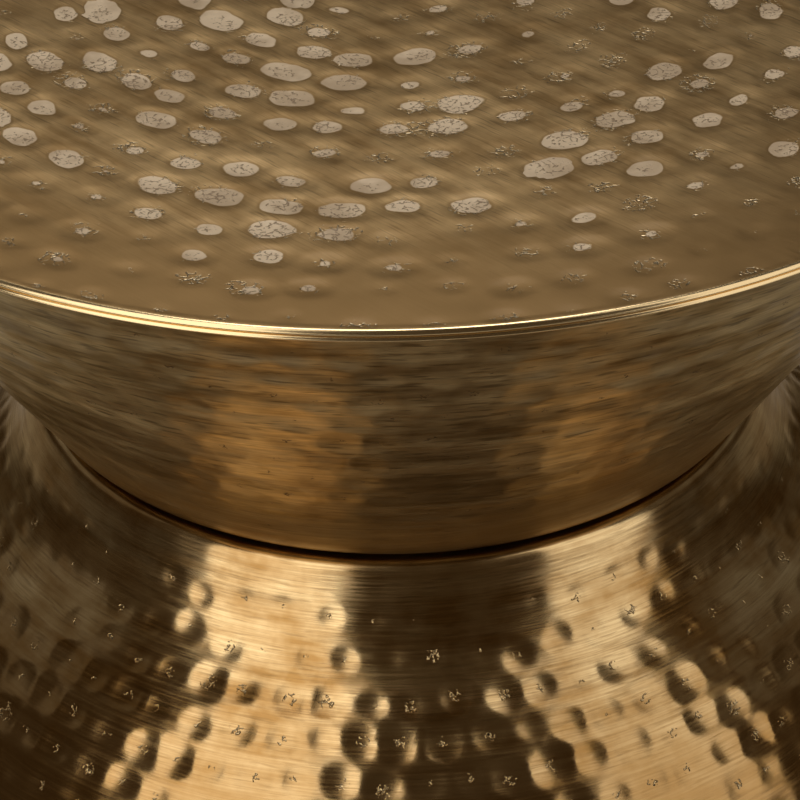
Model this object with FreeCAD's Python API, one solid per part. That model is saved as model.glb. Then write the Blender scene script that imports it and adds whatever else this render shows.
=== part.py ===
import FreeCAD, Part
import math
import os

# A waisted drum side table of hammered sheet metal with an antique brass finish.
# A tapering bowl carries a flat round top. It stands on a bell-shaped lower body that
# flares out to the floor. The two hollow halves are bolted together, floor to floor,
# through a thin spacer that leaves a dark line round the waist.
# Millimetres. +Z is up, the origin is on the floor, on the table's axis.
# The front is towards -Y.

# --- Whole table ---
table_height = 460.0
top_radius = 270.0

# --- Table top: a sheet disc with its edge folded under ---
top_sheet = 1.2
top_fold_gap = 0.4
top_fold_width = 9.0

# --- Board bonded under the top, on a ledge ring inside the bowl ---
board_thickness = 12.0
board_clearance = 1.5
ledge_width = 20.0
ledge_thickness = 3.0

# --- Screws that hold the board down on the ledge ring ---
board_screw_count = 6
board_screw_radius = 2.0
board_screw_head_radius = 4.0
board_screw_head_height = 2.4
board_screw_tip = 2.0
board_screw_edge = 9.0

# --- Upper bowl: closed floor, tapering wall, rim folded over itself ---
bowl_sheet = 1.0
bowl_fold_gap = 0.2
bowl_fold_width = 9.0
bowl_rim_inset = 0.3
bowl_rim_overhang = 3.5
bowl_rim_bend = 1.0
bowl_foot_radius = 156.0
bowl_foot_bend = 12.0
bowl_wall_bulge = 3.0
bowl_wall_end = 18.0

# --- Waist: the spacer between the two floors ---
bowl_floor_height = 280.0
spacer_radius = 146.0
spacer_thickness = 2.2

# --- Steel plates that spread the bolts' load over the thin floors ---
plate_radius = 125.0
plate_thickness = 3.0

# --- Waist bolts, with nuts welded to the upper plate ---
bolt_count = 4
bolt_circle_radius = 95.0
bolt_radius = 4.0
bolt_hole_clearance = 0.5
bolt_end = 2.0
bolt_head_width = 13.0
bolt_head_height = 5.3
nut_width = 13.0
nut_height = 6.5
flat_washer_radius = 8.0
flat_washer_thickness = 1.6
spring_washer_radius = 7.4
spring_washer_thickness = 2.0
spring_washer_slot = 1.6
washer_clearance = 0.2

# --- Lower body: closed top, short neck, trumpet flare, dome, upright skirt ---
body_sheet = 1.2
neck_radius = 157.5
shoulder_bend = 5.0
neck_straight = 2.8
neck_bend = 30.0
flare_angle = 52.0
flare_straight = 6.0
skirt_radius = 270.0
skirt_height = 35.0

# --- Foot of the lower body: its edge rolled outwards round a wire ---
base_wire_radius = 2.0
curl_gap = 0.3
edge_above_floor = 3.0

# --- Ring welded inside the skirt, with four rubber feet screwed under it ---
base_ring_width = 34.0
base_ring_thickness = 3.0
foot_height = 12.0
foot_radius = 15.0
foot_taper = 2.0
foot_skirt_clearance = 1.0
foot_recess_radius = 7.0
foot_recess_depth = 6.0
foot_screw_radius = 2.5
foot_screw_clearance = 0.3
foot_screw_head_radius = 4.8
foot_screw_head_height = 3.6
foot_screw_end = 1.5
foot_washer_radius = 6.0
foot_washer_thickness = 1.0
foot_nut_width = 8.0
foot_nut_height = 4.0
first_foot_angle = 45.0

# --- How far a hole or slot is cut past what it goes through ---
cut_margin = 1.0

# --- Heights and radii that follow from the sizes above ---
top_edge_height = 2 * top_sheet + top_fold_gap
bowl_edge_height = 2 * bowl_sheet + bowl_fold_gap
bowl_rim_top = table_height - top_edge_height
bowl_rim_radius = top_radius - bowl_rim_inset
board_top = table_height - top_sheet
board_bottom = board_top - board_thickness
ledge_bottom = board_bottom - ledge_thickness
bowl_floor_top = bowl_floor_height + bowl_sheet
upper_plate_top = bowl_floor_top + plate_thickness
body_top = bowl_floor_height - spacer_thickness
lower_plate_top = body_top - body_sheet
lower_plate_bottom = lower_plate_top - plate_thickness
flat_washer_bottom = lower_plate_bottom - flat_washer_thickness
spring_washer_bottom = flat_washer_bottom - spring_washer_thickness
bolt_hole_radius = bolt_radius + bolt_hole_clearance
curl_bottom = edge_above_floor + body_sheet
base_ring_bottom = foot_height
base_ring_top = base_ring_bottom + base_ring_thickness
skirt_inner_radius = skirt_radius - body_sheet
foot_circle_radius = skirt_inner_radius - foot_skirt_clearance - foot_radius
foot_hole_radius = foot_screw_radius + foot_screw_clearance
foot_nut_bottom = base_ring_top + foot_washer_thickness

foot_names = ["foot_back_right", "foot_back_left", "foot_front_left", "foot_front_right"]


def at(radius, height):
    """A point of a section, drawn in the plane y = 0."""
    return FreeCAD.Vector(radius, 0, height)


def right_of(direction):
    """The unit direction to the right of a direction of travel in the section."""
    return FreeCAD.Vector(direction.z, 0, -direction.x)


def heading(start, end):
    """The unit direction from one point of a section to another."""
    return (end - start).normalize()


def half_turn(before, corner, after):
    """Half the angle through which a path turns at a corner, positive to the right."""
    into = heading(before, corner)
    out = heading(corner, after)
    sideways = right_of(into).dot(out)
    return math.atan2(sideways, into.dot(out)) / 2


def rounded_path(points, radii):
    """Straight runs from point to point, with a tangent arc at each corner."""
    edges = []
    start = points[0]
    for before, corner, after, radius in zip(points, points[1:], points[2:], radii):
        into = heading(before, corner)
        out = heading(corner, after)
        half = abs(half_turn(before, corner, after))
        arc_start = corner - into * (radius * math.tan(half))
        arc_end = corner + out * (radius * math.tan(half))
        arc_middle = corner + (out - into).normalize() * (radius / math.cos(half) - radius)
        if start.distanceToPoint(arc_start) > 1e-6:
            edges.append(Part.makeLine(start, arc_start))
        edges.append(Part.Arc(arc_start, arc_middle, arc_end).toShape())
        start = arc_end
    edges.append(Part.makeLine(start, points[-1]))
    return edges


def inner_path(points, radii, distance):
    """The same path moved to the right of its travel by a distance."""
    moved = [points[0] + right_of(heading(points[0], points[1])) * distance]
    moved_radii = []
    for before, corner, after, radius in zip(points, points[1:], points[2:], radii):
        half = half_turn(before, corner, after)
        middle = (right_of(heading(before, corner)) + right_of(heading(corner, after))).normalize()
        moved.append(corner + middle * (distance / math.cos(half)))
        moved_radii.append(radius - math.copysign(distance, half))
    moved.append(points[-1] + right_of(heading(points[-2], points[-1])) * distance)
    return moved, moved_radii


def spin(edges):
    """The solid that a closed section sweeps out round the table's axis."""
    section = Part.Face(Part.Wire(Part.sortEdges(edges)[0]))
    return section.revolve(FreeCAD.Vector(0, 0, 0), FreeCAD.Vector(0, 0, 1), 360)


def sheet_shell(points, radii, sheet):
    """A spun shell: the outer path, with the sheet's thickness to its right."""
    inner_points, inner_radii = inner_path(points, radii, sheet)
    edges = rounded_path(points, radii) + rounded_path(inner_points, inner_radii)
    edges.append(Part.makeLine(points[0], inner_points[0]))
    edges.append(Part.makeLine(points[-1], inner_points[-1]))
    return spin(edges)


def disc(radius, bottom, top):
    """A round plate on the table's axis."""
    return Part.makeCylinder(radius, top - bottom, FreeCAD.Vector(0, 0, bottom))


def ring(outer_radius, inner_radius, bottom, top):
    """A flat ring on the table's axis."""
    return disc(outer_radius, bottom, top).cut(disc(inner_radius, bottom, top))


def hexagon(width, bottom, top):
    """An upright six-sided prism, measured across its flats."""
    corner_radius = width / math.sqrt(3)
    angles = [math.radians(60 * step) for step in range(7)]
    corners = [FreeCAD.Vector(corner_radius * math.cos(a), corner_radius * math.sin(a), bottom)
               for a in angles]
    return Part.Face(Part.makePolygon(corners)).extrude(FreeCAD.Vector(0, 0, top - bottom))


def placed(shape, radius, angle):
    """A shape moved out to a radius and turned to an angle about the table's axis."""
    copy = shape.translated(FreeCAD.Vector(radius, 0, 0))
    return copy.rotate(FreeCAD.Vector(0, 0, 0), FreeCAD.Vector(0, 0, 1), angle)


def evenly(shape, radius, count, first_angle):
    """Copies of a shape evenly spaced on a circle, as separate solids."""
    step = 360.0 / count
    return Part.makeCompound([placed(shape, radius, first_angle + step * i) for i in range(count)])


def at_bolts(shape):
    """Copies of a shape at the waist bolts."""
    return evenly(shape, bolt_circle_radius, bolt_count, 0.0)


def bolt_holes():
    """Clearance holes for the waist bolts, right through the waist."""
    return at_bolts(disc(bolt_hole_radius, lower_plate_bottom - cut_margin,
                         upper_plate_top + cut_margin))


# --- Table top ---

def top_plate():
    """The flat top, its edge folded under itself to a half-round."""
    points = [
        at(0, table_height),
        at(top_radius, table_height),
        at(top_radius, bowl_rim_top),
        at(top_radius - top_fold_width, bowl_rim_top),
    ]
    radii = [top_edge_height / 2, top_edge_height / 2]
    return sheet_shell(points, radii, top_sheet)


# --- Upper bowl ---

def bowl_path():
    """The bowl's outer surface, from its rim down the wall and in to the axis."""
    rim_bottom = bowl_rim_top - bowl_edge_height
    wall_top = at(bowl_rim_radius - bowl_rim_overhang, rim_bottom)
    wall_foot = at(bowl_foot_radius, bowl_floor_height)
    outward = right_of(heading(wall_top, wall_foot)) * -1
    wall_middle = (wall_top + wall_foot) * 0.5 + outward * bowl_wall_bulge
    points = [
        at(bowl_rim_radius - bowl_fold_width, bowl_rim_top),
        at(bowl_rim_radius, bowl_rim_top),
        at(bowl_rim_radius, rim_bottom),
        wall_top,
        wall_middle,
        wall_foot,
        at(0, bowl_floor_height),
    ]
    wall_run = wall_top.distanceToPoint(wall_middle) - bowl_wall_end
    wall_radius = wall_run / math.tan(half_turn(wall_top, wall_middle, wall_foot))
    fold_radius = bowl_edge_height / 2
    radii = [fold_radius, fold_radius, bowl_rim_bend, wall_radius, bowl_foot_bend]
    return points, radii


def upper_bowl():
    """The spun bowl, with holes in its floor for the waist bolts."""
    points, radii = bowl_path()
    return sheet_shell(points, radii, bowl_sheet).cut(bolt_holes())


def bowl_inner_radius(height):
    """The radius of the bowl's inner surface at a height on the upper half of its wall."""
    points, radii = bowl_path()
    inner_points, _ = inner_path(points, radii, bowl_sheet)
    top, middle = inner_points[3], inner_points[4]
    share = (height - middle.z) / (top.z - middle.z)
    return middle.x + share * (top.x - middle.x)


# --- Board, ledge ring and screws inside the bowl ---

def board_radius():
    """The board's radius, clear of the wall at the board's lower face."""
    return bowl_inner_radius(board_bottom) - board_clearance


def board_screw_circle():
    """The radius of the circle of board screws, in from the board's edge."""
    return board_radius() - board_screw_edge


def board_screw():
    """A countersunk screw, its head flush with the board's upper face."""
    head = Part.makeCone(board_screw_radius, board_screw_head_radius, board_screw_head_height,
                         FreeCAD.Vector(0, 0, board_top - board_screw_head_height))
    return head.fuse(disc(board_screw_radius, ledge_bottom - board_screw_tip,
                          board_top - board_screw_head_height)).removeSplitter()


def board_screws():
    """All the board screws."""
    return evenly(board_screw(), board_screw_circle(), board_screw_count, 0.0)


def top_board():
    """The round board that stiffens the top."""
    return disc(board_radius(), board_bottom, board_top).cut(board_screws())


def ledge_ring():
    """The flat ring welded to the bowl's wall, bevelled to meet it."""
    lower_radius = bowl_inner_radius(ledge_bottom)
    upper_radius = bowl_inner_radius(board_bottom)
    outer = Part.makeCone(lower_radius, upper_radius, ledge_thickness,
                          FreeCAD.Vector(0, 0, ledge_bottom))
    opening = disc(lower_radius - ledge_width, ledge_bottom, board_bottom)
    return outer.cut(opening).cut(board_screws())


# --- Waist: spacer, plates, bolts, nuts and washers ---

def waist_spacer():
    """The thin disc that holds the two floors apart, set in from the waist's edge."""
    return disc(spacer_radius, body_top, bowl_floor_height).cut(bolt_holes())


def upper_backing_plate():
    """The steel plate on the bowl's floor."""
    return disc(plate_radius, bowl_floor_top, upper_plate_top).cut(bolt_holes())


def lower_backing_plate():
    """The steel plate under the lower body's closed top."""
    return disc(plate_radius, lower_plate_bottom, lower_plate_top).cut(bolt_holes())


def weld_nuts():
    """Hexagon nuts welded to the upper plate."""
    nut_top = upper_plate_top + nut_height
    nut = hexagon(nut_width, upper_plate_top, nut_top)
    return at_bolts(nut.cut(disc(bolt_radius, upper_plate_top, nut_top)))


def waist_bolts():
    """Hexagon bolts put in from below, through both floors and into the nuts."""
    head = hexagon(bolt_head_width, spring_washer_bottom - bolt_head_height, spring_washer_bottom)
    shank = disc(bolt_radius, spring_washer_bottom, upper_plate_top + nut_height + bolt_end)
    return at_bolts(head.fuse(shank))


def flat_washers():
    """Plain washers under the lower plate."""
    return at_bolts(ring(flat_washer_radius, bolt_radius + washer_clearance,
                         flat_washer_bottom, lower_plate_bottom))


def spring_washers():
    """Split spring washers between the bolt heads and the plain washers."""
    washer = ring(spring_washer_radius, bolt_radius + washer_clearance,
                  spring_washer_bottom, flat_washer_bottom)
    slot = Part.makeBox(spring_washer_radius + cut_margin, spring_washer_slot,
                        spring_washer_thickness,
                        FreeCAD.Vector(0, -spring_washer_slot / 2, spring_washer_bottom))
    return at_bolts(washer.cut(slot))


# --- Lower body ---

def lower_body():
    """The spun lower body: closed top, neck, flare, dome, skirt and rolled foot.

    The dome is the largest arc that leaves the flare and the skirt their straight runs.
    """
    half_flare = math.tan(math.radians(flare_angle) / 2)
    neck_foot = body_top - shoulder_bend - neck_straight - neck_bend * half_flare
    flare_width = skirt_radius - neck_radius
    flare_length = flare_width / math.sin(math.radians(flare_angle))
    dome_corner = neck_foot - flare_width / math.tan(math.radians(flare_angle))
    room_on_flare = flare_length - neck_bend * half_flare - flare_straight
    room_on_skirt = dome_corner - curl_bottom - skirt_height
    dome_radius = min(room_on_flare, room_on_skirt) / half_flare
    wire_width = 2 * base_wire_radius
    points = [
        at(0, body_top),
        at(neck_radius, body_top),
        at(neck_radius, neck_foot),
        at(skirt_radius, dome_corner),
        at(skirt_radius, curl_bottom),
        at(skirt_radius + wire_width, curl_bottom),
        at(skirt_radius + wire_width, curl_bottom + wire_width),
        at(skirt_radius + curl_gap, curl_bottom + wire_width),
    ]
    curl = [base_wire_radius] * 3
    radii = [shoulder_bend, neck_bend, dome_radius] + curl
    return sheet_shell(points, radii, body_sheet).cut(bolt_holes())


def base_wire():
    """The round wire inside the rolled foot."""
    return Part.makeTorus(skirt_radius + base_wire_radius, base_wire_radius,
                          FreeCAD.Vector(0, 0, curl_bottom + base_wire_radius))


# --- Base ring and feet ---

def at_feet(shape):
    """Copies of a shape at the four feet, as separate solids."""
    return evenly(shape, foot_circle_radius, len(foot_names), first_foot_angle)


def base_ring():
    """The flat ring welded inside the skirt, drilled for the foot screws."""
    plain = ring(skirt_inner_radius, skirt_inner_radius - base_ring_width,
                 base_ring_bottom, base_ring_top)
    return plain.cut(at_feet(disc(foot_hole_radius, base_ring_bottom, base_ring_top)))


def rubber_foot():
    """A tapered rubber foot with a recess below for the screw's head."""
    outer = Part.makeCone(foot_radius - foot_taper, foot_radius, foot_height)
    recess = disc(foot_recess_radius, 0, foot_recess_depth)
    return outer.cut(recess).cut(disc(foot_hole_radius, foot_recess_depth, foot_height))


def foot_screws():
    """Pan-head screws, up through the feet and the base ring."""
    head = disc(foot_screw_head_radius, foot_recess_depth - foot_screw_head_height,
                foot_recess_depth)
    shank = disc(foot_screw_radius, foot_recess_depth,
                 foot_nut_bottom + foot_nut_height + foot_screw_end)
    return at_feet(head.fuse(shank))


def foot_washers():
    """Plain washers on the base ring."""
    return at_feet(ring(foot_washer_radius, foot_hole_radius, base_ring_top, foot_nut_bottom))


def foot_nuts():
    """Hexagon nuts on the foot screws."""
    nut_top = foot_nut_bottom + foot_nut_height
    nut = hexagon(foot_nut_width, foot_nut_bottom, nut_top)
    return at_feet(nut.cut(disc(foot_screw_radius, foot_nut_bottom, nut_top)))


# --- One file for each sub-part ---

parts = {
    "top_plate": top_plate(),
    "top_board": top_board(),
    "board_screws": board_screws(),
    "ledge_ring": ledge_ring(),
    "upper_bowl": upper_bowl(),
    "upper_backing_plate": upper_backing_plate(),
    "weld_nuts": weld_nuts(),
    "waist_spacer": waist_spacer(),
    "lower_backing_plate": lower_backing_plate(),
    "flat_washers": flat_washers(),
    "spring_washers": spring_washers(),
    "waist_bolts": waist_bolts(),
    "lower_body": lower_body(),
    "base_wire": base_wire(),
    "base_ring": base_ring(),
    "foot_screws": foot_screws(),
    "foot_washers": foot_washers(),
    "foot_nuts": foot_nuts(),
}
for name, foot in zip(foot_names, at_feet(rubber_foot()).Solids):
    parts[name] = foot

os.makedirs("parts", exist_ok=True)
for name, shape in parts.items():
    shape.exportStep("parts/" + name + ".step")
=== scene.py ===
import math
import bpy
from mathutils import Matrix, Quaternion, Vector


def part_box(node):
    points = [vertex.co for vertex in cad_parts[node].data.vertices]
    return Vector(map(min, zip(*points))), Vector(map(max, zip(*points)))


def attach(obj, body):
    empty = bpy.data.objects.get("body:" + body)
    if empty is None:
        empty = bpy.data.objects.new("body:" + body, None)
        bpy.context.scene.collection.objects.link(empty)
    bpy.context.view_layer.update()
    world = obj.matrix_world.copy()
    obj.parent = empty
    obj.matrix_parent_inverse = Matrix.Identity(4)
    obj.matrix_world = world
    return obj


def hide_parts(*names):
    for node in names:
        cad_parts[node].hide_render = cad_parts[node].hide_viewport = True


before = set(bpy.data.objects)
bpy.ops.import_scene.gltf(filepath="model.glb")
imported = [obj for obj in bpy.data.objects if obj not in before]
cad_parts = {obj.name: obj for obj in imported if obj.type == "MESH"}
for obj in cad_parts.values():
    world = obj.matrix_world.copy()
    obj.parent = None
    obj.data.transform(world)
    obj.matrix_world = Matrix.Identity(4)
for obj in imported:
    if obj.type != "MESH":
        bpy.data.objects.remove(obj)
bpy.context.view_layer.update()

# A waisted drum side table in hammered sheet brass with an antique finish. The sections
# follow the bench: the spun base, the bowl bolted on top of it, the flat top, then the steel
# and rubber pieces that hold them together, and last the studio that the table stands in.
# The front is towards -Y, and lengths are in metres.


# ---------------------------------------------------------------------------
# Lower body: one sheet of 1.2 mm brass, spun into a closed top, a short neck that leans
# outwards, a flare, a dome and an upright skirt. It is hammered in rings from the neck down,
# and its lower edge is rolled outwards round a wire.
# ---------------------------------------------------------------------------

mm = 0.001
hair = 0.01 * mm
body_low, body_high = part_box("lower_body")
body_sheet = 1.2 * mm
wire_radius = 2.0 * mm
curl_gap = 0.3 * mm
neck_radius = 157.5 * mm
neck_angle = math.radians(22)
shoulder_bend = 5.0 * mm
neck_straight = 16.0 * mm
neck_bend = 60.0 * mm
flare_angle = math.radians(52)
flare_straight = 6.0 * mm
skirt_height = 35.0 * mm


def right_hand(direction):
    """The direction to the right of a direction of travel in a section."""
    return Vector((direction.y, -direction.x))


def rounded_path(corners, arc_step):
    """Points and right-hand normals along straight runs with a tangent arc at each corner.
    A corner is its distance from the axis, its height and its bend radius."""
    fewest_steps = 3
    largest_turn = math.radians(18)
    spots = [Vector(corner[:2]) for corner in corners]
    bends = [corner[2] for corner in corners[1:]]
    path = [(spots[0], right_hand((spots[1] - spots[0]).normalized()))]
    for before, here, after, bend in zip(spots, spots[1:], spots[2:], bends):
        into, out = (here - before).normalized(), (after - here).normalized()
        turn = math.atan2(right_hand(into).dot(out), into.dot(out))
        start = here - into * (bend * math.tan(abs(turn) / 2))
        centre = start + right_hand(into) * math.copysign(bend, turn)
        steps = max(fewest_steps, math.ceil(abs(turn) / largest_turn),
                    math.ceil(abs(turn) * bend / arc_step))
        for step in range(steps + 1):
            swing = Matrix.Rotation(-turn * step / steps, 2)
            path.append((centre + swing @ (start - centre), swing @ right_hand(into)))
    path.append((spots[-1], right_hand((spots[-1] - spots[-2]).normalized())))
    return path


def rings_along(points, zone):
    """Rings for one side of a sheet. The zone function says for a point of the section how
    far apart rings stand, how long a ring's edges are, and what share of the hammering it
    gets, which is below 0 on an inner face, because its normals point the other way."""
    rings = []
    for start, end in zip(points, points[1:]):
        step, edge, worked = zone(start.lerp(end, 0.5))
        parts = max(1, math.ceil((end - start).length / step))
        rings += [(start.lerp(end, part / parts), edge, worked) for part in range(parts)]
    return rings + [(points[-1], *zone(points[-1])[1:])]


def spun_sheet(name, rings):
    """A closed shell of revolution. Each ring has its own number of points, so that the
    triangles keep one size from the axis to the rim."""
    fewest_points = 6
    vertices, faces, worked, loops = [], [], [], []
    for spot, edge, share in rings:
        on_axis = spot.x < hair
        count = 1 if on_axis else max(fewest_points, round(2 * math.pi * spot.x / edge))
        loops.append((len(vertices), count))
        for i in range(count):
            angle = 2 * math.pi * i / count
            vertices.append((spot.x * math.cos(angle), spot.x * math.sin(angle), spot.y))
            worked.append(share)
    for (a, a_count), (b, b_count) in zip(loops, loops[1:] + loops[:1]):
        i = j = 0
        while (i < a_count or j < b_count) and a_count + b_count > 2:
            step_a = j >= b_count or (i < a_count and (i + 1) * b_count <= (j + 1) * a_count)
            corners = [a + i % a_count, b + j % b_count]
            if step_a:
                corners.append(a + (i + 1) % a_count)
                i += 1
            else:
                corners.append(b + (j + 1) % b_count)
                j += 1
            if len(set(corners)) == 3:
                faces.append(corners)
    mesh = bpy.data.meshes.new(name)
    mesh.from_pydata(vertices, [], faces)
    mesh.attributes.new("worked", "FLOAT", "POINT").data.foreach_set("value", worked)
    mesh.update()
    volume = sum(Vector(vertices[p]).dot(Vector(vertices[q]).cross(Vector(vertices[r])))
                 for p, q, r in faces)
    if volume < 0:
        mesh.flip_normals()
    mesh.shade_smooth()
    piece = bpy.data.objects.new(name, mesh)
    bpy.context.scene.collection.objects.link(piece)
    return piece


def node(tree, kind, inputs=(), **settings):
    """A new node, its inputs linked or set by place or by name."""
    made = tree.nodes.new(kind)
    for key, value in settings.items():
        setattr(made, key, value)
    for key, value in dict(inputs).items():
        socket = made.inputs[key] if isinstance(key, int) else next(
            s for s in made.inputs if s.enabled and s.name == key)
        if isinstance(value, bpy.types.NodeSocket):
            tree.links.new(value, socket)
        else:
            socket.default_value = value
    return made


def result(made, name=None):
    """The output in use of a node, or the one of that name."""
    return next(s for s in made.outputs if s.enabled and name in (None, s.name))


def sum_of(tree, operation, *values, clamp=False):
    """The result of a Math node."""
    return result(node(tree, "ShaderNodeMath", enumerate(values), operation=operation,
                       use_clamp=clamp))


def vector_of(tree, operation, *values):
    """The result of a Vector Math node."""
    return result(node(tree, "ShaderNodeVectorMath", enumerate(values), operation=operation))


def hammer_tree():
    """Hammer marks in rings round the axis. Their centres are laid out along the section,
    and every point of the sheet then sinks into the mark nearest to it."""
    tree = bpy.data.node_groups.new("hammering", "GeometryNodeTree")
    tree.interface.new_socket("Geometry", in_out="OUTPUT", socket_type="NodeSocketGeometry")
    for name, kind in (("Geometry", "Geometry"), ("Section", "Object"), ("Rings", "Int"),
                       ("First ring", "Float"), ("Ring spacing", "Float"),
                       ("Mark spacing", "Float"), ("Oval", "Float"), ("Hammer radius", "Float"),
                       ("Softness", "Float"), ("Depth", "Float"),
                       ("Shallow ring", "Float"), ("Shallow share", "Float"),
                       ("Rings to full depth", "Float"), ("Stray", "Float"),
                       ("Waviness", "Float"), ("Wave middle", "Float"), ("Seed", "Int"),
                       ("Finish", "Material")):
        tree.interface.new_socket(name, in_out="INPUT", socket_type="NodeSocket" + kind)
    given = node(tree, "NodeGroupInput").outputs
    section = result(node(tree, "GeometryNodeObjectInfo", {"Object": given["Section"]}), "Geometry")

    def along_section(distance):
        return node(tree, "GeometryNodeSampleCurve", {"Curves": section, "Length": distance},
                    mode="LENGTH")

    def chance(low, high, salt):
        seed = sum_of(tree, "ADD", given["Seed"], salt)
        return result(node(tree, "FunctionNodeRandomValue",
                           {"Min": low, "Max": high, "Seed": seed}, data_type="FLOAT"))

    def kept(label, data_type="FLOAT"):
        return result(node(tree, "GeometryNodeInputNamedAttribute", {"Name": label},
                           data_type=data_type))

    def keep(geometry, label, value, data_type="FLOAT"):
        return result(node(tree, "GeometryNodeStoreNamedAttribute",
                           {"Geometry": geometry, "Name": label, "Value": value},
                           data_type=data_type, domain="POINT"))

    # one point for each ring, copied once for each mark in it
    ring = result(node(tree, "GeometryNodeInputIndex"))
    distance = sum_of(tree, "MULTIPLY_ADD", ring, given["Ring spacing"], given["First ring"])
    ring_spot = result(along_section(distance), "Position")
    ring_radius = result(node(tree, "ShaderNodeSeparateXYZ", {0: ring_spot}), "X")
    round_ring = sum_of(tree, "MULTIPLY", ring_radius, 2 * math.pi)
    mark_count = sum_of(tree, "ROUND", sum_of(tree, "DIVIDE", round_ring, given["Mark spacing"]))
    points = result(node(tree, "GeometryNodePoints", {"Count": given["Rings"]}))
    points = keep(keep(points, "ring", ring), "marks", mark_count)
    copies = node(tree, "GeometryNodeDuplicateElements",
                  {"Geometry": points, "Amount": kept("marks")}, domain="POINT")
    stagger = sum_of(tree, "MULTIPLY", sum_of(tree, "MODULO", kept("ring"), 2.0), 0.5)
    place = sum_of(tree, "ADD", result(copies, "Duplicate Index"), stagger)
    slip = sum_of(tree, "DIVIDE", given["Stray"], given["Mark spacing"])
    place = sum_of(tree, "MULTIPLY_ADD", chance(-1.0, 1.0, 1), slip, place)
    angle = sum_of(tree, "MULTIPLY", sum_of(tree, "DIVIDE", place, kept("marks")), 2 * math.pi)
    distance = sum_of(tree, "MULTIPLY_ADD", kept("ring"), given["Ring spacing"], given["First ring"])
    distance = sum_of(tree, "MULTIPLY_ADD", chance(-1.0, 1.0, 2), given["Stray"], distance)
    on_section = along_section(distance)

    def swung(vector):
        return result(node(tree, "ShaderNodeVectorRotate", {"Vector": vector, "Angle": angle},
                           rotation_type="Z_AXIS"))

    downhill = result(on_section, "Tangent")
    outward = vector_of(tree, "CROSS_PRODUCT", downhill, (0.0, 1.0, 0.0))
    rings_in = sum_of(tree, "SUBTRACT", kept("ring"), given["Shallow ring"])
    ramp = sum_of(tree, "DIVIDE", rings_in, given["Rings to full depth"], clamp=True)
    share = result(node(tree, "ShaderNodeMix", {0: ramp, 2: given["Shallow share"], 3: 1.0}))
    weakest_blow, hardest_blow = 0.45, 1.3
    depth_share = sum_of(tree, "MULTIPLY", share, chance(weakest_blow, hardest_blow, 3))
    marks = result(node(tree, "GeometryNodeSetPosition",
                        {"Geometry": result(copies, "Geometry"),
                         "Position": swung(result(on_section, "Position"))}))
    marks = keep(marks, "outward", swung(outward), "FLOAT_VECTOR")
    marks = keep(marks, "downhill", swung(downhill), "FLOAT_VECTOR")
    marks = keep(marks, "depth", sum_of(tree, "MULTIPLY", depth_share, given["Depth"]))

    # the sheet sinks along each mark's own direction, both of its faces together
    here = result(node(tree, "GeometryNodeInputPosition"))
    nearest = result(node(tree, "GeometryNodeSampleNearest",
                          {"Geometry": marks, "Sample Position": here}, domain="POINT"))

    def of_mark(value, data_type="FLOAT"):
        return result(node(tree, "GeometryNodeSampleIndex",
                           {"Geometry": marks, "Value": value, "Index": nearest},
                           data_type=data_type, domain="POINT"))

    mark_outward = of_mark(kept("outward", "FLOAT_VECTOR"), "FLOAT_VECTOR")
    mark_downhill = of_mark(kept("downhill", "FLOAT_VECTOR"), "FLOAT_VECTOR")
    mark_around = vector_of(tree, "CROSS_PRODUCT", mark_outward, mark_downhill)
    offset = vector_of(tree, "SUBTRACT", here, of_mark(here, "FLOAT_VECTOR"))
    across = vector_of(tree, "DOT_PRODUCT", offset, mark_around)
    across = sum_of(tree, "DIVIDE", across, given["Oval"])
    down = vector_of(tree, "DOT_PRODUCT", offset, mark_downhill)
    flat_offset = result(node(tree, "ShaderNodeCombineXYZ", {"X": across, "Y": down}))
    away = vector_of(tree, "DOT_PRODUCT", flat_offset, flat_offset)
    depth = of_mark(kept("depth"))
    reach = sum_of(tree, "MULTIPLY", sum_of(tree, "MULTIPLY", depth, given["Hammer radius"]), 2.0)
    hollow = sum_of(tree, "SUBTRACT", 1.0, sum_of(tree, "DIVIDE", away, reach), clamp=True)
    hollow = sum_of(tree, "POWER", hollow, given["Softness"])
    waves = result(node(tree, "ShaderNodeTexNoise", {"Vector": here, "Scale": 42.0, "Detail": 1.0}))
    waves = sum_of(tree, "MULTIPLY", sum_of(tree, "SUBTRACT", waves, given["Wave middle"]),
                   given["Waviness"])
    sink = sum_of(tree, "MULTIPLY_ADD", hollow, depth, waves)
    sink = sum_of(tree, "MULTIPLY", sum_of(tree, "MULTIPLY", sink, kept("worked")), -1.0)
    outwards = result(node(tree, "GeometryNodeInputNormal"))
    push = result(node(tree, "ShaderNodeVectorMath", {0: outwards, "Scale": sink},
                       operation="SCALE"))
    from_mark = result(node(tree, "ShaderNodeCombineXYZ",
                            {"X": sum_of(tree, "SQRT", away), "Y": sum_of(tree, "SQRT", reach)}))
    sheet = keep(given["Geometry"], "mark", from_mark, "FLOAT_VECTOR")
    sheet = result(node(tree, "GeometryNodeSetPosition", {"Geometry": sheet, "Offset": push}))
    sheet = result(node(tree, "GeometryNodeRealizeInstances", {"Geometry": sheet}))
    sheet = result(node(tree, "GeometryNodeSetMaterial",
                        {"Geometry": sheet, "Material": given["Finish"]}))
    node(tree, "NodeGroupOutput", {"Geometry": sheet})
    return tree


hammering = hammer_tree()


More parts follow.
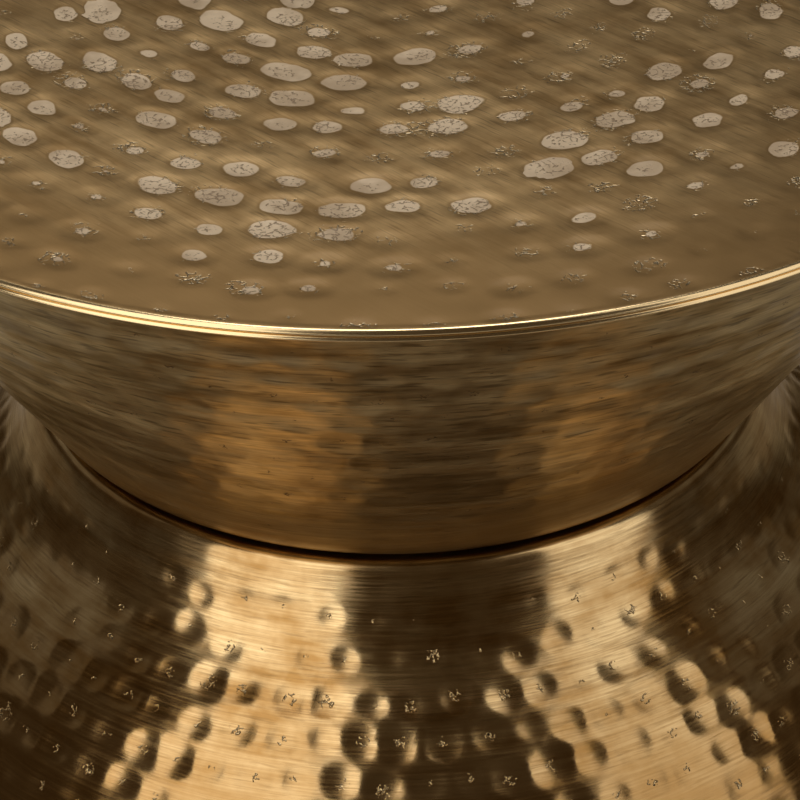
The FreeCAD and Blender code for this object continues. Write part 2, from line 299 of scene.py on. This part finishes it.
def hammered(piece, section_points, **sizes):
    """Strikes the marks along a section into the piece's mesh, and takes the modifier off."""
    curve = bpy.data.curves.new(piece.name + "_section", "CURVE")
    curve.dimensions = "3D"
    line = curve.splines.new("POLY")
    line.points.add(len(section_points) - 1)
    for point, spot in zip(line.points, section_points):
        point.co = (spot.x, 0, spot.y, 1)
    section = bpy.data.objects.new(curve.name, curve)
    bpy.context.scene.collection.objects.link(section)
    modifier = piece.modifiers.new("hammering", "NODES")
    modifier.node_group = hammering
    sizes["Section"] = section
    for socket in hammering.interface.items_tree:
        if socket.in_out == "INPUT" and socket.name.replace(" ", "_") in sizes:
            modifier[socket.identifier] = sizes[socket.name.replace(" ", "_")]
    graph = bpy.context.evaluated_depsgraph_get()
    struck = bpy.data.meshes.new_from_object(piece.evaluated_get(graph))
    piece.modifiers.clear()
    piece.data = struck
    bpy.data.objects.remove(section)


def brass(name, tones, straight_grain, satin, across_grain, streaking, nick_reach, nick_depth,
          nick_and_glint_colour, radial_painted_shade, bright_edge, painted_glint_patches):
    """Antique brass under clear lacquer: a brushed grain, brown clouds and a star-shaped nick
    in most hammer marks, whose colour is partly a painted glint where it is lighter than the
    brass. Tones are the dark and the light one, and satin is the smoothest and the roughest
    roughness. The grain runs straight along a direction, or round the axis where none is
    given. Painted shade darkens the sheet between two radii, up to a share. Outside the bright
    edge's radius the sheet is polished: smoother, and lighter in part as a painted highlight.
    Painted glint patches are pale, dull patches in the marks, a painted reflection of the
    back lamp, with no brushed grain in them."""
    material = bpy.data.materials.new(name)
    material.use_nodes = True
    tree = material.node_tree
    tree.nodes.clear()
    spot = result(node(tree, "ShaderNodeTexCoord"), "Object")
    around = vector_of(tree, "CROSS_PRODUCT", (0.0, 0.0, 1.0), spot)

    def ramp_of(value, low, high, from_value=0.0, to_value=1.0):
        return result(node(tree, "ShaderNodeMapRange",
                           {"Value": value, "From Min": low, "From Max": high,
                            "To Min": from_value, "To Max": to_value},
                           interpolation_type="SMOOTHSTEP"))

    def mixed(share, first, second):
        return result(node(tree, "ShaderNodeMix", {"Factor": share, "A": first, "B": second},
                           data_type="RGBA"))

    def noise(place, scale, detail, roughness=0.5):
        return result(node(tree, "ShaderNodeTexNoise",
                           {"Vector": place, "Scale": scale, "Detail": detail,
                            "Roughness": roughness}))

    # places along and across the grain, in which the streaks are long and thin
    from_axis = vector_of(tree, "MULTIPLY", spot, (1.0, 1.0, 0.0))
    radius = vector_of(tree, "LENGTH", from_axis)
    if straight_grain:
        grain = Vector(straight_grain).normalized()
        along = vector_of(tree, "DOT_PRODUCT", spot, tuple(grain))
        across = vector_of(tree, "DOT_PRODUCT", spot, (-grain.y, grain.x, 0.0))
        slow = result(node(tree, "ShaderNodeCombineXYZ", {"X": along}))
    else:
        slow = from_axis
        wall_lean = -0.6
        across = sum_of(tree, "MULTIPLY_ADD", radius, wall_lean,
                        result(node(tree, "ShaderNodeSeparateXYZ", {0: spot}), "Z"))
    lift = result(node(tree, "ShaderNodeCombineXYZ", {"Z": across}))

    def streaks(length, width, detail):
        place = vector_of(tree, "ADD", vector_of(tree, "MULTIPLY", slow, (1 / length,) * 3),
                          vector_of(tree, "MULTIPLY", lift, (1 / width,) * 3))
        return noise(place, 1.0, detail, 0.6)

    fine = streaks(40 * mm, 0.8 * mm, 3.0)
    broad = streaks(60 * mm, 6 * mm, 3.0)
    dashes = streaks(14 * mm, 1.2 * mm, 1.0)
    cloud = noise(spot, 30.0, 4.0, 0.6)

    # the nick: short crossing scratches round the centre of the mark
    mark = result(node(tree, "ShaderNodeAttribute", attribute_name="mark"), "Vector")
    mark = node(tree, "ShaderNodeSeparateXYZ", {0: mark})
    away, mark_reach = result(mark, "X"), result(mark, "Y")
    wobble = sum_of(tree, "MULTIPLY_ADD", noise(spot, 45.0, 0.0), 1.2, -0.6)
    wobble = sum_of(tree, "ADD", noise(spot, 420.0, 2.0), wobble)
    wobble = sum_of(tree, "MULTIPLY", wobble, mark_reach)
    usual_mark = 9 * mm
    reach = sum_of(tree, "MULTIPLY", wobble, 2 * nick_reach / usual_mark)
    inside = ramp_of(sum_of(tree, "SUBTRACT", reach, away), 0.0, 0.8 * mm)
    shake = result(node(tree, "ShaderNodeTexNoise", {"Vector": spot, "Scale": 300.0}), "Color")
    bent = vector_of(tree, "MULTIPLY_ADD", shake, (0.004, 0.004, 0.004), spot)
    cracks = result(node(tree, "ShaderNodeTexVoronoi", {"Vector": bent, "Scale": 330.0},
                         feature="DISTANCE_TO_EDGE"))
    broken = ramp_of(noise(spot, 700.0, 1.0), 0.42, 0.55)
    inside = sum_of(tree, "MULTIPLY", inside, broken)
    inside = sum_of(tree, "MULTIPLY", inside,
                    ramp_of(radius, bright_edge - 3 * mm, bright_edge - 1 * mm, 1.0, 0.0))
    nick = sum_of(tree, "MULTIPLY", inside, ramp_of(cracks, 0.03, 0.13, 1.0, 0.0))
    groove = sum_of(tree, "MULTIPLY", inside, ramp_of(cracks, 0.0, 0.06, 1.0, 0.0))
    cut = sum_of(tree, "MULTIPLY", nick, -nick_depth)

    # clouds and broad streaks of the two tones, darkened along the brush's marks, and painted shade
    # between two radii
    dark_tone, light_tone = [(*tone, 1) for tone in tones]
    darkest_tone = tuple(0.5 * part for part in tones[0]) + (1,)
    painted_shade_start, painted_shade_end, painted_shade_share = radial_painted_shade
    shade = sum_of(tree, "MULTIPLY_ADD", cloud, 1 - streaking,
                   sum_of(tree, "MULTIPLY", broad, streaking))
    ramp = node(tree, "ShaderNodeValToRGB", {0: shade})
    dark, light = ramp.color_ramp.elements
    dark.position, dark.color = 0.38, dark_tone
    light.position, light.color = 0.60, light_tone
    colour = result(ramp)
    colour = mixed(ramp_of(fine, 0.3, 0.7, 0.0, 0.35), colour, dark_tone)
    colour = mixed(ramp_of(dashes, 0.55, 0.72, 0.0, streaking), colour, darkest_tone)
    roughness = ramp_of(fine, 0.3, 0.7, *satin)
    grain_depth = 0.015 * mm
    relief = sum_of(tree, "MULTIPLY", fine, grain_depth)
    # painted shade, darker with radius: towards the top's rim, down the body's flare and dome, and
    # towards the bowl's foot
    colour = mixed(ramp_of(radius, painted_shade_start, painted_shade_end, 0.0, painted_shade_share), colour, dark_tone)
    metal = 1.0
    nick_and_glint_colour = (*nick_and_glint_colour, 1)
    if painted_glint_patches:
        # painted reflection of the back lamp: pale, dull patches in the marks come and go across the
        # top and fade to one side, where that reflection thins; a line of painted shade edges them
        growth = 1.8
        least_growth = 17.0 * mm
        raggedness = 4 * mm
        unevenness = 7 * mm
        glint_fade = (-0.007, 0.0, 0.0)
        glint_patch_dark = (0.58, 0.42, 0.26, 1)
        glint_patch_light = (0.80, 0.61, 0.40, 1)
        glint_patch_nick = (0.40, 0.28, 0.17, 1)
        size = sum_of(tree, "MULTIPLY_ADD", mark_reach, growth, -least_growth)
        size = sum_of(tree, "MULTIPLY_ADD", noise(spot, 110.0, 1.0), raggedness, size)
        size = sum_of(tree, "MULTIPLY_ADD", noise(spot, 14.0, 1.0), unevenness, size)
        size = sum_of(tree, "ADD", vector_of(tree, "DOT_PRODUCT", spot, glint_fade), size)
        inwards = sum_of(tree, "SUBTRACT", size, away)
        # a line of painted shade just outside each patch
        colour = mixed(ramp_of(inwards, -1.2 * mm, 0.0, 0.0, 0.6), colour, dark_tone)
        glint_patch = ramp_of(inwards, 0.0, 0.5 * mm)
        glint_patch_colour = mixed(ramp_of(cloud, 0.4, 0.6), glint_patch_dark, glint_patch_light)
        # the patches' pale, dull, less metallic colour is a painted reflection of the back lamp
        colour = mixed(glint_patch, colour, glint_patch_colour)
        nick_and_glint_colour = mixed(glint_patch, nick_and_glint_colour, glint_patch_nick)
        groove = sum_of(tree, "MULTIPLY", groove, sum_of(tree, "MULTIPLY_ADD", glint_patch, -0.6, 1.0))
        metal = sum_of(tree, "MULTIPLY_ADD", glint_patch, -0.85, 1.0)
        relief = sum_of(tree, "MULTIPLY", relief, sum_of(tree, "SUBTRACT", 1.0, glint_patch))
    # the polished edge, lighter in part as a painted highlight on the rim bead, then the nicks over
    # everything
    polished_highlight_tone = (0.88, 0.64, 0.33, 1)
    polished_roughness = 0.2
    groove_tone = (0.12, 0.065, 0.025, 1)
    polished_highlight = ramp_of(radius, bright_edge - 0.5 * mm, bright_edge)
    colour = mixed(polished_highlight, colour, polished_highlight_tone)
    roughness = result(node(tree, "ShaderNodeMix",
                            {0: polished_highlight, 2: roughness, 3: polished_roughness}))
    relief = sum_of(tree, "MULTIPLY", relief, sum_of(tree, "SUBTRACT", 1.0, polished_highlight))
    # the nick's colour, where it is lighter than the brass, is partly a painted glint
    colour = mixed(nick, colour, nick_and_glint_colour)
    colour = mixed(groove, colour, groove_tone)
    relief = sum_of(tree, "ADD", relief, cut)
    bump = result(node(tree, "ShaderNodeBump",
                       {"Height": relief, "Strength": 1.0, "Distance": 1.0}))
    coat_bump = result(node(tree, "ShaderNodeBump",
                            {"Height": cut, "Strength": 1.0, "Distance": 1.0}))
    normal = result(node(tree, "ShaderNodeNewGeometry"), "Normal")
    shader = node(tree, "ShaderNodeBsdfPrincipled",
                  {"Base Color": colour, "Metallic": metal, "Roughness": roughness, "Normal": bump,
                   "Specular Tint": (0.90, 0.76, 0.56, 1), "Coat Weight": 0.2,
                   "Coat Roughness": 0.12, "Coat IOR": 1.5, "Coat Normal": coat_bump,
                   "Anisotropic": across_grain,
                   "Tangent": vector_of(tree, "CROSS_PRODUCT", normal, around)})
    node(tree, "ShaderNodeOutputMaterial", {"Surface": result(shader)})
    return material


body_top = body_high.z
curl_low = body_low.z + body_sheet
curl_high = curl_low + 2 * wire_radius
curl_reach = min(body_high.x, body_high.y, -body_low.x, -body_low.y) - body_sheet
skirt_radius = curl_reach - 2 * wire_radius
neck_run = neck_bend * math.tan((flare_angle - neck_angle) / 2)
neck_length = shoulder_bend * math.tan((math.pi / 2 - neck_angle) / 2) + neck_straight + neck_run
neck_foot = Vector((neck_radius + neck_length * math.sin(neck_angle),
                    body_top - neck_length * math.cos(neck_angle)))
flare_width = skirt_radius - neck_foot.x
dome_corner = neck_foot.y - flare_width / math.tan(flare_angle)
room_on_flare = flare_width / math.sin(flare_angle) - neck_run - flare_straight
room_on_skirt = dome_corner - curl_low - skirt_height
dome_radius = min(room_on_flare, room_on_skirt) / math.tan(flare_angle / 2)
body_corners = [
    (0, body_top, 0),
    (neck_radius, body_top, shoulder_bend),
    (*neck_foot, neck_bend),
    (skirt_radius, dome_corner, dome_radius),
    (skirt_radius, curl_low, wire_radius),
    (curl_reach, curl_low, wire_radius),
    (curl_reach, curl_high, wire_radius),
    (skirt_radius + curl_gap, curl_high, 0),
]


fine_marks_radius = 225 * mm


def body_outside(spot):
    """The closed top and the rolled foot are plain, and the first marks have fine rings."""
    if spot.x < neck_radius - shoulder_bend:
        return 40 * mm, 8 * mm, 0.0
    if spot.y < curl_high + 2 * mm:
        return 2 * mm, 3 * mm, 0.0
    if spot.x < fine_marks_radius:
        return 1.6 * mm, 2.3 * mm, 1.0
    return 3 * mm, 3.6 * mm, 1.0


def body_inside(spot):
    if spot.y > body_top - shoulder_bend - body_sheet:
        return 40 * mm, 12 * mm, 0.0
    if spot.y < curl_high + 2 * mm:
        return 3 * mm, 6 * mm, 0.0
    return 6 * mm, 8 * mm, -1.0


body_outer = [point for point, _ in rounded_path(body_corners, 3 * mm)]
body_inner = [point + side * body_sheet
              for point, side in reversed(rounded_path(body_corners, 6 * mm))]
lower_body = spun_sheet("lower_body_hammered", rings_along(body_outer, body_outside)
                        + rings_along(body_inner, body_inside))
hammered(lower_body,
         [spot for spot in body_outer
          if neck_radius - hair < spot.x < skirt_radius + hair
          and spot.y > curl_low + wire_radius - hair],
         Rings=17, First_ring=21.0 * mm, Ring_spacing=16.4 * mm, Mark_spacing=17 * mm, Oval=1.0,
         Hammer_radius=48 * mm, Softness=1.3, Depth=0.85 * mm, Shallow_ring=0.0, Shallow_share=0.35,
         Rings_to_full_depth=3.0, Stray=2.2 * mm, Waviness=0.7 * mm, Wave_middle=0.5, Seed=11,
         Finish=brass("brass_of_body", tones=((0.40, 0.21, 0.06), (0.80, 0.56, 0.27)),
                      straight_grain=None, satin=(0.14, 0.26), across_grain=0.35,
                      streaking=0.35, nick_reach=2.4 * mm, nick_depth=0.15 * mm,
                      nick_and_glint_colour=(0.90, 0.66, 0.34), radial_painted_shade=(0.18, 0.24, 0.75),
                      bright_edge=1.0, painted_glint_patches=False))
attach(lower_body, "root")
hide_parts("lower_body")


# ---------------------------------------------------------------------------
# Upper bowl: spun from 1 mm brass, with a closed floor, a tapering wall that bulges a
# little, and a rim folded back over itself. It is hammered lightly and brushed round.
# ---------------------------------------------------------------------------

bowl_low, bowl_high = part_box("upper_bowl")
bowl_sheet = 1.0 * mm
bowl_fold_gap = 0.2 * mm
bowl_fold_width = 9.0 * mm
bowl_rim_overhang = 3.5 * mm
bowl_rim_bend = 1.0 * mm
bowl_foot_radius = 156.0 * mm
bowl_foot_bend = 12.0 * mm
bowl_wall_bulge = 3.0 * mm
bowl_wall_end = 18.0 * mm

bowl_edge = 2 * bowl_sheet + bowl_fold_gap
rim_under = bowl_high.z - bowl_edge
wall_top = Vector((bowl_high.x - bowl_rim_overhang, rim_under))
wall_foot = Vector((bowl_foot_radius, bowl_low.z))
wall_along = (wall_foot - wall_top).normalized()
wall_middle = (wall_top + wall_foot) / 2 - right_hand(wall_along) * bowl_wall_bulge
wall_turn = (wall_middle - wall_top).angle(wall_foot - wall_middle)
wall_bend = ((wall_middle - wall_top).length - bowl_wall_end) / math.tan(wall_turn / 2)
bowl_corners = [
    (bowl_high.x - bowl_fold_width, bowl_high.z, 0),
    (bowl_high.x, bowl_high.z, bowl_edge / 2),
    (bowl_high.x, rim_under, bowl_edge / 2),
    (*wall_top, bowl_rim_bend),
    (*wall_middle, wall_bend),
    (*wall_foot, bowl_foot_bend),
    (0, bowl_low.z, 0),
]


def bowl_outside(spot):
    if spot.x < bowl_foot_radius - bowl_foot_bend:
        return 40 * mm, 8 * mm, 0.0
    if spot.y > rim_under - 3 * mm:
        return 1.5 * mm, 2.2 * mm, 0.0
    if spot.y < bowl_low.z + 12 * mm:
        return 2 * mm, 2.5 * mm, 0.0
    return 2.0 * mm, 2.2 * mm, 1.0


def bowl_inside(spot):
    return 12 * mm, 8 * mm, 0.0


bowl_outer = [point for point, _ in rounded_path(bowl_corners, 2 * mm)]
bowl_inner = [point + side * bowl_sheet
              for point, side in reversed(rounded_path(bowl_corners, 8 * mm))]
upper_bowl = spun_sheet("upper_bowl_hammered", rings_along(bowl_outer, bowl_outside)
                        + rings_along(bowl_inner, bowl_inside))
hammered(upper_bowl,
         [spot for spot in bowl_outer if spot.y < rim_under + hair
          and bowl_foot_radius - bowl_foot_bend < spot.x < wall_top.x],
         Rings=10, First_ring=14.0 * mm, Ring_spacing=18 * mm, Mark_spacing=18.5 * mm, Oval=1.0,
         Hammer_radius=90 * mm, Softness=1.5, Depth=0.6 * mm, Shallow_ring=9.0, Shallow_share=0.2,
         Rings_to_full_depth=-2.0, Stray=3.0 * mm, Waviness=0.9 * mm, Wave_middle=0.5, Seed=23,
         # the bowl's dark tone is darker than the top's and the body's, as painted shade under the
         # top
         Finish=brass("brass_of_bowl", tones=((0.25, 0.16, 0.065), (0.76, 0.57, 0.29)),
                      straight_grain=None, satin=(0.28, 0.42), across_grain=0.35,
                      streaking=0.65, nick_reach=1.6 * mm, nick_depth=0.10 * mm,
                      nick_and_glint_colour=(0.14, 0.08, 0.03), radial_painted_shade=(0.225, 0.165, 0.75),
                      bright_edge=bowl_high.x - 0.9 * mm, painted_glint_patches=False))
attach(upper_bowl, "root")
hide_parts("upper_bowl")


# ---------------------------------------------------------------------------
# Table top: a flat disc of 1.2 mm brass, its edge folded under to a half-round bead. It is
# brushed straight across and hammered in rings, more lightly towards the rim.
# ---------------------------------------------------------------------------

top_low, top_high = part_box("top_plate")
top_sheet = 1.2 * mm
top_fold_width = 9.0 * mm
top_edge = top_high.z - top_low.z
top_path = rounded_path([
    (0, top_high.z, 0),
    (top_high.x, top_high.z, top_edge / 2),
    (top_high.x, top_low.z, top_edge / 2),
    (top_high.x - top_fold_width, top_low.z, 0),
], 0.5 * mm)


def top_outside(spot):
    if spot.x > top_high.x - top_edge / 2 or spot.y < top_high.z - hair:
        return 4 * mm, 2.4 * mm, 0.0
    return 1.7 * mm, 1.85 * mm, 1.0


def top_inside(spot):
    return 300 * mm, 8 * mm, 0.0


top_outer = [point for point, _ in top_path]
top_inner = [point + side * top_sheet for point, side in reversed(top_path)]
table_top = spun_sheet("table_top_hammered", rings_along(top_outer, top_outside)
                       + rings_along(top_inner, top_inside))
hammered(table_top, [Vector((0, top_high.z)), Vector((top_high.x, top_high.z))],
         Rings=15, First_ring=5.5 * mm, Ring_spacing=18.5 * mm, Mark_spacing=22.5 * mm, Oval=1.4,
         Hammer_radius=110 * mm, Softness=1.3, Depth=0.35 * mm, Shallow_ring=14.0,
         Shallow_share=0.4, Rings_to_full_depth=-4.0, Stray=3.2 * mm, Waviness=0.3 * mm,
         Wave_middle=0.0, Seed=5,
         Finish=brass("brass_of_top", tones=((0.39, 0.23, 0.09), (0.78, 0.52, 0.245)),
                      straight_grain=(1, -1, 0), satin=(0.28, 0.38), across_grain=0.0,
                      streaking=0.45, nick_reach=4.6 * mm, nick_depth=0.16 * mm,
                      nick_and_glint_colour=(0.90, 0.74, 0.48), radial_painted_shade=(0.17, 0.258, 0.95),
                      bright_edge=top_high.x - 1.0 * mm, painted_glint_patches=True))
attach(table_top, "root")
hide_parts("top_plate")


# ---------------------------------------------------------------------------
# Top board and its screws: a disc of raw fibreboard that stiffens the thin top. Six
# countersunk screws hold it down on the ledge ring.
# ---------------------------------------------------------------------------

def finish_of(name, nodes, tones, cloud_scale, cloud_detail, rough, metal, fine_scale, fine_height,
              flecks=None):
    """A plain workshop finish on frame pieces: mottled between two tones, with a fine relief
    in its surface and, where given, flecks of a third colour."""
    material = bpy.data.materials.new(name)
    material.use_nodes = True
    tree = material.node_tree
    tree.nodes.clear()
    spot = result(node(tree, "ShaderNodeTexCoord"), "Object")
    mottle = result(node(tree, "ShaderNodeTexNoise",
                         {"Vector": spot, "Scale": cloud_scale, "Detail": cloud_detail,
                          "Roughness": 0.65}))
    grit = result(node(tree, "ShaderNodeTexNoise",
                       {"Vector": spot, "Scale": fine_scale, "Detail": 2.0}))
    ramp = node(tree, "ShaderNodeValToRGB", {0: mottle})
    first, last = ramp.color_ramp.elements
    first.position, first.color = 0.38, (*tones[0], 1)
    last.position, last.color = 0.62, (*tones[1], 1)
    colour = result(ramp)
    if flecks:
        cells = result(node(tree, "ShaderNodeTexVoronoi", {"Vector": spot, "Scale": fine_scale}))
        share = result(node(tree, "ShaderNodeMapRange",
                            {"Value": cells, "From Min": 0.16, "From Max": 0.3, "To Min": 0.7,
                             "To Max": 0.0}))
        colour = result(node(tree, "ShaderNodeMix", {"Factor": share, "A": colour,
                                                     "B": (*flecks, 1)}, data_type="RGBA"))
    roughness = result(node(tree, "ShaderNodeMapRange",
                            {"Value": mottle, "From Min": 0.3, "From Max": 0.7,
                             "To Min": rough[0], "To Max": rough[1]}))
    height = sum_of(tree, "MULTIPLY", grit, fine_height)
    bump = result(node(tree, "ShaderNodeBump", {"Height": height, "Strength": 1.0,
                                                "Distance": 1.0}))
    shader = node(tree, "ShaderNodeBsdfPrincipled",
                  {"Base Color": colour, "Metallic": metal, "Roughness": roughness,
                   "Normal": bump})
    node(tree, "ShaderNodeOutputMaterial", {"Surface": result(shader)})
    for node_name in nodes:
        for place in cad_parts[node_name].material_slots:
            place.material = material


finish_of("raw_fibreboard", ["top_board"], ((0.40, 0.27, 0.16), (0.56, 0.42, 0.28)), 60.0, 6.0,
          (0.75, 0.9), 0.0, 900.0, 0.08 * mm, flecks=(0.24, 0.15, 0.08))
finish_of("zinc_of_screws", ["board_screws"], ((0.50, 0.50, 0.50), (0.70, 0.71, 0.72)), 220.0,
          3.0, (0.28, 0.42), 1.0, 1500.0, 0.01 * mm)


# ---------------------------------------------------------------------------
# Ledge ring, backing plates and base ring: flat pieces cut from 3 mm mill steel sheet, and
# the drawn wire in the rolled foot. They keep the mill's dull grey skin.
# ---------------------------------------------------------------------------

finish_of("mill_steel", ["ledge_ring", "upper_backing_plate", "lower_backing_plate", "base_ring"],
          ((0.20, 0.20, 0.21), (0.42, 0.42, 0.43)), 35.0, 6.0, (0.38, 0.62), 1.0, 700.0,
          0.04 * mm, flecks=(0.16, 0.11, 0.08))
finish_of("drawn_wire", ["base_wire"], ((0.34, 0.34, 0.35), (0.48, 0.48, 0.49)), 120.0, 3.0,
          (0.3, 0.45), 1.0, 900.0, 0.02 * mm)


# ---------------------------------------------------------------------------
# Waist spacer: a thin disc of black rubber sheet between the two floors. Its edge is set in
# from the bowl's, deep in the gap whose shadow shows as the dark line round the waist.

finish_of("rubber_sheet", ["waist_spacer"], ((0.012, 0.012, 0.012), (0.028, 0.027, 0.026)), 90.0,
          4.0, (0.7, 0.88), 0.0, 1200.0, 0.03 * mm)


# ---------------------------------------------------------------------------
# Waist bolts: four zinc plated hexagon bolts put in from below, each with a plain and a split
# spring washer, and a nut welded to the upper plate.
# ---------------------------------------------------------------------------

finish_of("zinc_of_bolts", ["waist_bolts", "weld_nuts"], ((0.46, 0.47, 0.48), (0.68, 0.69, 0.70)),
          160.0, 4.0, (0.26, 0.42), 1.0, 1300.0, 0.015 * mm)
finish_of("zinc_of_washers", ["flat_washers", "spring_washers"],
          ((0.52, 0.52, 0.51), (0.72, 0.72, 0.71)), 200.0, 4.0, (0.3, 0.46), 1.0, 1500.0,
          0.015 * mm)


# ---------------------------------------------------------------------------
# Feet: four moulded rubber feet under the base ring, each held by a pan-head screw in its
# recess, with a washer and a nut above the ring. Their soles are scuffed and dusty.
# ---------------------------------------------------------------------------

finish_of("moulded_rubber", ["foot_front_left", "foot_front_right", "foot_back_left",
                             "foot_back_right"], ((0.018, 0.018, 0.018), (0.055, 0.053, 0.05)),
          70.0, 5.0, (0.6, 0.85), 0.0, 1000.0, 0.05 * mm, flecks=(0.09, 0.085, 0.08))
finish_of("zinc_of_foot_screws", ["foot_screws", "foot_washers", "foot_nuts"],
          ((0.48, 0.49, 0.50), (0.70, 0.71, 0.73)), 240.0, 4.0, (0.28, 0.44), 1.0, 1600.0,
          0.012 * mm)


# ---------------------------------------------------------------------------
# Studio: a pale floor, a tall soft lamp on either side in front, a broad one high behind, a
# faint one on either side behind, one overhead, and a room that is dark in front and paler
# behind.
# ---------------------------------------------------------------------------

floor_mesh = bpy.data.meshes.new("floor")
floor_radius = 14.0
floor_turns = [math.radians(degrees) for degrees in range(0, 360, 5)]
floor_points = [(floor_radius * math.cos(turn), floor_radius * math.sin(turn), 0)
                for turn in floor_turns]
floor_mesh.from_pydata(floor_points, [], [range(len(floor_points))])
floor = bpy.data.objects.new("floor", floor_mesh)
bpy.context.scene.collection.objects.link(floor)
paint = bpy.data.materials.new("pale_floor")
paint.use_nodes = True
paint_shader = paint.node_tree.nodes["Principled BSDF"]
paint_shader.inputs["Base Color"].default_value = (0.62, 0.61, 0.59, 1)
paint_shader.inputs["Roughness"].default_value = 0.8
floor_mesh.materials.append(paint)


def softbox(name, azimuth, distance, low, high, width, brightness, aimed_at=None, beam=180):
    """A rectangular lamp between two heights. It stands upright and faces the axis, or faces
    a height on the axis. Azimuth 0 is the front, and 90 the right. The beam is the angle that
    it lights, and a narrow one needs less power to be as bright."""
    side = math.radians(azimuth)
    place = Vector((math.sin(side) * distance, -math.cos(side) * distance, (low + high) / 2))
    target = Vector((0, 0, place.z if aimed_at is None else aimed_at))
    lamp = bpy.data.lights.new(name, "AREA")
    lamp.shape = "RECTANGLE"
    lamp.size, lamp.size_y = width, high - low
    lamp.spread = math.radians(beam)
    lamp.energy = math.pi * lamp.size * lamp.size_y * brightness
    lamp.energy *= 1 - lamp.spread / 2 / math.tan(lamp.spread / 2)
    holder = bpy.data.objects.new(name, lamp)
    holder.location = place
    holder.rotation_mode = "QUATERNION"
    holder.rotation_quaternion = (target - place).to_track_quat("-Z", "Y")
    holder.visible_camera = False
    bpy.context.scene.collection.objects.link(holder)


softbox("left_softbox", azimuth=-34, distance=0.9, low=0.22, high=2.7, width=0.58,
        brightness=1.55)
softbox("right_softbox", azimuth=52, distance=0.9, low=0.22, high=2.7, width=0.47,
        brightness=0.95)
softbox("back_softbox", azimuth=190, distance=2.4, low=2.4, high=2.9, width=1.9,
        brightness=1.85, aimed_at=0.46, beam=70)
softbox("rear_left_softbox", azimuth=-112, distance=1.5, low=0.7, high=2.6, width=1.7,
        brightness=0.09)
softbox("rear_right_softbox", azimuth=112, distance=1.5, low=0.7, high=2.6, width=1.7,
        brightness=0.05)
softbox("overhead_softbox", azimuth=180, distance=0.3, low=1.75, high=2.75, width=1.0,
        brightness=4.6, aimed_at=0.46, beam=90)

world = bpy.data.worlds.new("studio")
bpy.context.scene.world = world
world.use_nodes = True
sky = world.node_tree
sky.nodes.clear()
towards = node(sky, "ShaderNodeSeparateXYZ",
               {0: result(node(sky, "ShaderNodeTexCoord"), "Generated")})
behind = result(node(sky, "ShaderNodeMapRange",
                     {"Value": result(towards, "Y"), "From Min": -0.2, "From Max": 0.7,
                      "To Min": 0.0, "To Max": 1.0}, interpolation_type="SMOOTHSTEP"))
raised = result(node(sky, "ShaderNodeMapRange",
                     {"Value": result(towards, "Z"), "From Min": 0.1, "From Max": 0.42,
                      "To Min": 0.0, "To Max": 1.0}, interpolation_type="SMOOTHSTEP"))
walls = result(node(sky, "ShaderNodeMix",
                    {"Factor": sum_of(sky, "MULTIPLY", behind, raised),
                     "A": (0.048, 0.036, 0.023, 1), "B": (0.08, 0.078, 0.073, 1)},
                    data_type="RGBA"))
background = node(sky, "ShaderNodeBackground", {"Color": walls})
node(sky, "ShaderNodeOutputWorld", {"Surface": result(background)})

camera_data = bpy.data.cameras.new("camera")
camera_data.lens = 135
camera_data.clip_end = 50
camera = bpy.data.objects.new("camera", camera_data)
camera_distance = 1.2231
camera_height = math.radians(26)
camera_dip = math.radians(34.2)
camera_turn = math.radians(0.05)
camera_roll = math.radians(-1.1)
camera.location = Vector((0, -math.cos(camera_height) * camera_distance,
                          top_high.z + math.sin(camera_height) * camera_distance))
look = Vector((math.sin(camera_turn) * math.cos(camera_dip),
               math.cos(camera_turn) * math.cos(camera_dip), -math.sin(camera_dip)))
camera.rotation_mode = "QUATERNION"
camera.rotation_quaternion = look.to_track_quat("-Z", "Y") @ Quaternion((0, 0, 1), camera_roll)
bpy.context.scene.collection.objects.link(camera)
bpy.context.scene.camera = camera
bpy.context.scene.view_settings.view_transform = "Standard"
